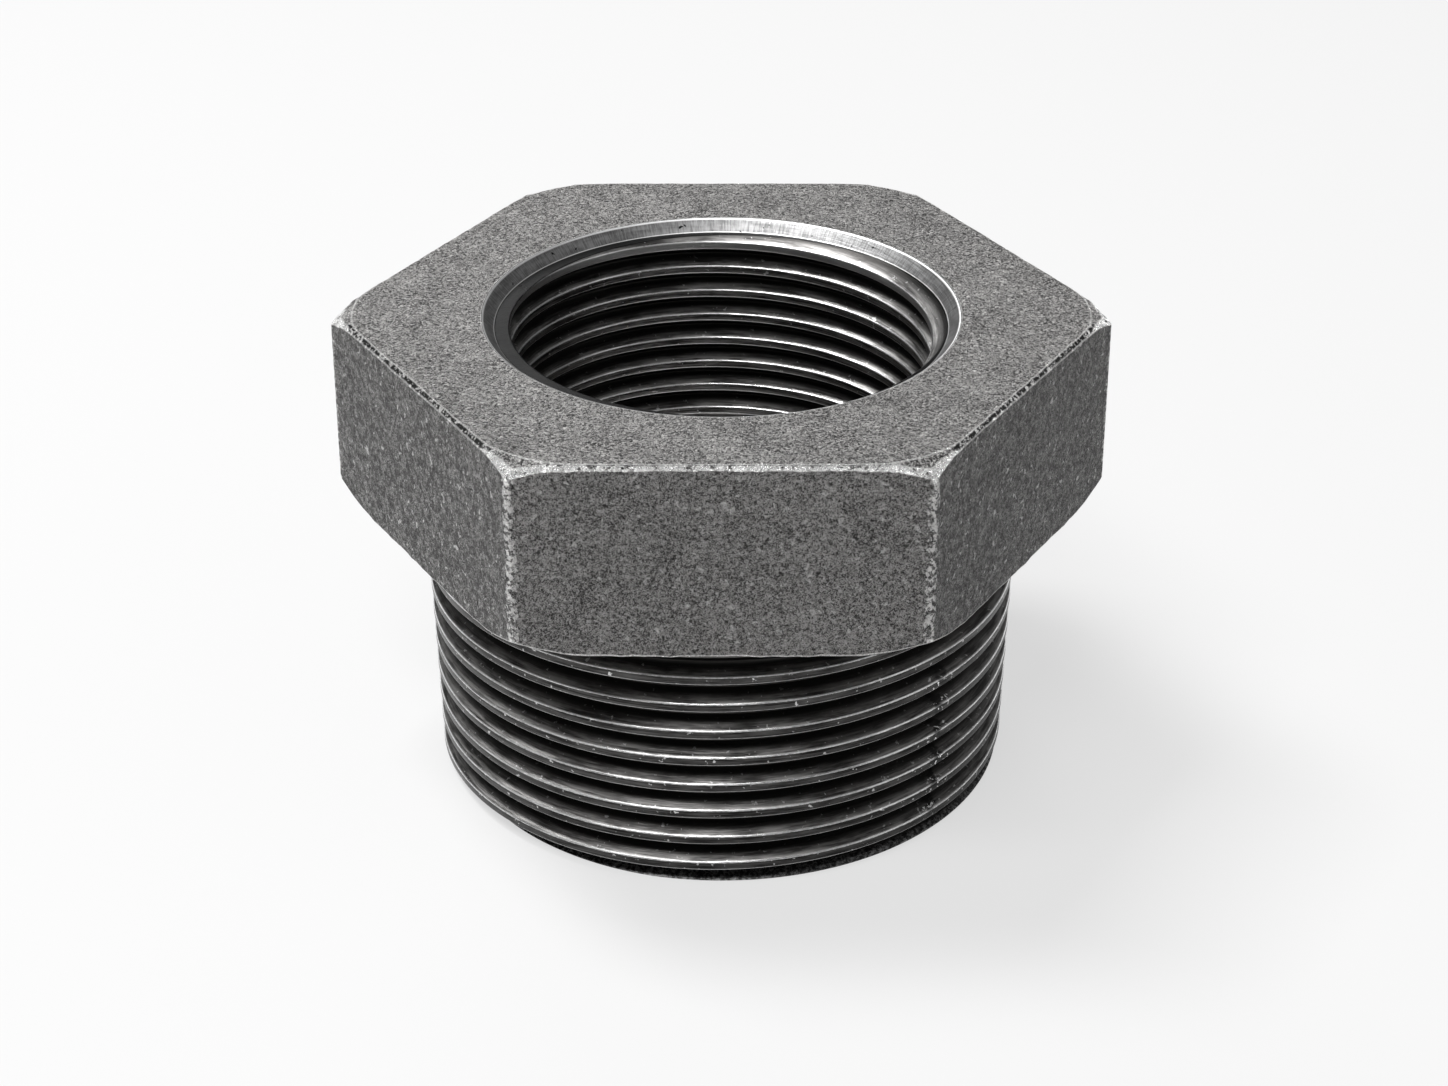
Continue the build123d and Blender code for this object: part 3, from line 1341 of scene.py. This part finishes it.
    def countersunk(self, tree: Tree, at: ThreadPlace, cone: Number,
                    colour: bpy.types.NodeSocket) -> bpy.types.NodeSocket:
        """Draw the countersink, scratched across, nicked and bright at its lips, with a painted shadow on the
        ledge below it and a painted highlight on the first crest.

        Args:
            tree: the material's nodes.
            at: where the point lies.
            cone: the share of the countersink.
            colour: the thread's colour.

        Returns:
            The new colour.
        """
        high = self.thread.mouth
        low = high - self.cone_depth
        lips = at.height.fall(low + 0.03, low + 0.06).larger(at.height.rise(high - 0.09, high - 0.05))
        # A painted shadow on the ledge below the countersink.
        ledge = at.height.rise(low - 0.03, low - 0.01) * (1 - cone)
        # A painted highlight on the first crest, which faces the light above.
        first_crest_highlight = at.flat * at.height.rise(low - 1.15, low - 0.95)
        across = tree.joined(at.angle * self.scratches, at.height * 1.5, at.ragged * 0.6)
        scratched = (tree.noise(across, 1.0, 3.0, 0.7) * 0.6 + at.smears * 0.4).rise(0.35, 0.65)
        turned = tree.mixed(scratched, grey(0.13), grey(0.32))
        turned = tree.mixed(lips * 0.8, turned, grey(self.bright))
        turned = tree.mixed(tree.noise(at.place, 2.2, 2.0, 0.6).rise(0.7, 0.73), turned, grey(self.root))
        colour = tree.mixed(first_crest_highlight * 0.7, colour, grey(0.6))
        colour = tree.mixed(ledge, colour, grey(self.root))
        return tree.mixed(cone, colour, turned)

    def material(self) -> bpy.types.Material:
        """Make the material: the cut, and on it whatever its fields ask for.

        Returns:
            The material.
        """
        tree = Tree(self.name)
        at = self.find(tree)
        colour = self.cut(tree, at)
        roughness = self.roughness + (at.streaks - 0.5) * 0.3 - at.lines * 0.06
        if self.shade_height:
            colour = self.ended(tree, at, colour)
        if self.scar:
            colour = self.scarred(tree, at, colour)
        if self.cone_radius:
            cone = self.cone(at)
            colour = self.countersunk(tree, at, cone, colour)
            roughness = roughness + cone * 0.1
        return tree.finish({
            "Base Color": colour,
            "Metallic": 1.0,
            "Roughness": roughness,
            "Normal": tree.bump(at.streaks * 0.6 + at.ragged * 0.25, self.relief),
        })


@dataclass(frozen=True)
class Softbox:
    """A rectangular lamp that looks at the bushing.

    Attributes:
        name: its name.
        direction: where it stands, seen from the bushing.
        distance: how far away, in m.
        size: its width and height in m.
        radiance: how bright its face is.
    """

    name: str
    direction: tuple[float, float, float]
    distance: float
    size: tuple[float, float]
    radiance: float

    def build(self, target: Vector) -> None:
        """Add the lamp. Its power is pi times its area times its radiance.

        Args:
            target: the point that it looks at, in m.
        """
        lamp = bpy.data.lights.new(self.name, "AREA")
        lamp.shape = "RECTANGLE"
        lamp.size, lamp.size_y = self.size
        lamp.energy = pi * self.size[0] * self.size[1] * self.radiance
        holder = bpy.data.objects.new(self.name, lamp)
        way = Vector(self.direction).normalized()
        holder.location = target + way * self.distance
        holder.rotation_euler = way.to_track_quat("Z", "Y").to_euler()
        bpy.context.scene.collection.objects.link(holder)
        log.info("lamp %s", self.name)


@dataclass(frozen=True)
class Studio:
    """A pale floor, soft lamps and the camera at the photograph's angle.

    Attributes:
        image_width: width of the photograph in pixels.
        focal_pixels: the lens's focal length in those pixels.
        elevation: how far above the horizontal the camera stands.
        distance: from the target to the camera in mm.
        target: the point that the camera looks at, in mm.
        sensor: width of the camera's sensor in mm.
        clip_start: distance in m from which the camera sees.
        floor_half: half the floor's width in m.
        paper: grey of the lit floor.
        pale: grey that the floor glows with.
        camera_glow: share of the glow that the camera sees.
        mirror_glow: share of the glow that the steel mirrors.
        world_strength: brightness of the world.
        lamps: the lamps.
    """

    image_width: float = 1448.0
    focal_pixels: float = 3210.0
    elevation: float = radians(28.59)
    distance: float = 183.05
    target: tuple[float, float, float] = (0.15, 0.0, 12.39)
    sensor: float = 36.0
    clip_start: float = 0.01
    floor_half: float = 1.5
    paper: float = 0.9
    pale: float = 0.82
    camera_glow: float = 0.76
    mirror_glow: float = 0.4
    world_strength: float = 0.2
    lamps: tuple[Softbox, ...] = (
        Softbox("overhead", (-0.36, 0.16, 0.91), 0.5, (0.13, 0.22), 28.0),
        Softbox("key", (-0.24, -0.46, 0.86), 0.6, (0.34, 0.12), 15.0),
        Softbox("right", (0.9, -0.3, 0.5), 0.7, (0.25, 0.5), 0.6),
        Softbox("back", (-0.26, 0.84, 0.46), 0.7, (0.2, 0.2), 4.6),
    )

    def camera(self) -> None:
        """Set the camera: it looks at the target from the front, from above by the elevation."""
        camera = bpy.data.cameras.new("camera")
        camera.sensor_width = self.sensor
        camera.lens = self.focal_pixels / self.image_width * self.sensor
        camera.clip_start = self.clip_start
        holder = bpy.data.objects.new("camera", camera)
        target = Vector(self.target) * MM
        way = Vector((0.0, -cos(self.elevation), sin(self.elevation)))
        holder.location = target + way * self.distance * MM
        holder.rotation_euler = way.to_track_quat("Z", "Y").to_euler()
        bpy.context.scene.collection.objects.link(holder)
        bpy.context.scene.camera = holder

    def floor_material(self) -> bpy.types.Material:
        """Make pale paper, part lit and part glowing, so that it stays pale and keeps a shadow.

        Returns:
            The material.
        """
        tree = Tree("pale_paper")
        path = tree.add("ShaderNodeLightPath", {}, {})
        seen = tree.number(path, "Is Camera Ray") * self.camera_glow
        share = seen.larger(tree.number(path, "Is Glossy Ray") * self.mirror_glow)
        paper = tree.add("ShaderNodeBsdfDiffuse", {}, {"Color": grey(self.paper)})
        glow = tree.add("ShaderNodeEmission", {}, {"Color": grey(self.pale), "Strength": 1.0})
        mix = tree.add("ShaderNodeMixShader", {}, {0: share, 1: paper.outputs[0], 2: glow.outputs[0]})
        tree.add("ShaderNodeOutputMaterial", {}, {"Surface": mix.outputs[0]})
        return tree.material

    def floor(self) -> None:
        """Lay the floor: a square about the axis, level with the shank's flat end."""
        half = self.floor_half
        mesh = bpy.data.meshes.new("floor")
        corners = [(-half, -half, 0), (half, -half, 0), (half, half, 0), (-half, half, 0)]
        mesh.from_pydata(corners, [], [(0, 1, 2, 3)])
        floor = bpy.data.objects.new("floor", mesh)
        mesh.materials.append(self.floor_material())
        bpy.context.scene.collection.objects.link(floor)

    def world(self) -> None:
        """Light everything evenly and faintly from all round, and show colours as they are."""
        world = bpy.data.worlds.new("studio")
        world.use_nodes = True
        background = world.node_tree.nodes["Background"]
        background.inputs["Color"].default_value = grey(1.0)
        background.inputs["Strength"].default_value = self.world_strength
        bpy.context.scene.world = world
        bpy.context.scene.view_settings.view_transform = "Standard"

    def build(self) -> None:
        """Add the floor, the world, the lamps and the camera."""
        self.floor()
        self.world()
        for lamp in self.lamps:
            lamp.build(Vector(self.target) * MM)
        self.camera()


def main() -> None:
    """Build the bushing and the studio."""
    logging.basicConfig(level=logging.INFO, format="%(name)s: %(message)s")
    Bushing().build()
    Studio().build()


if __name__ == "__main__":
    main()
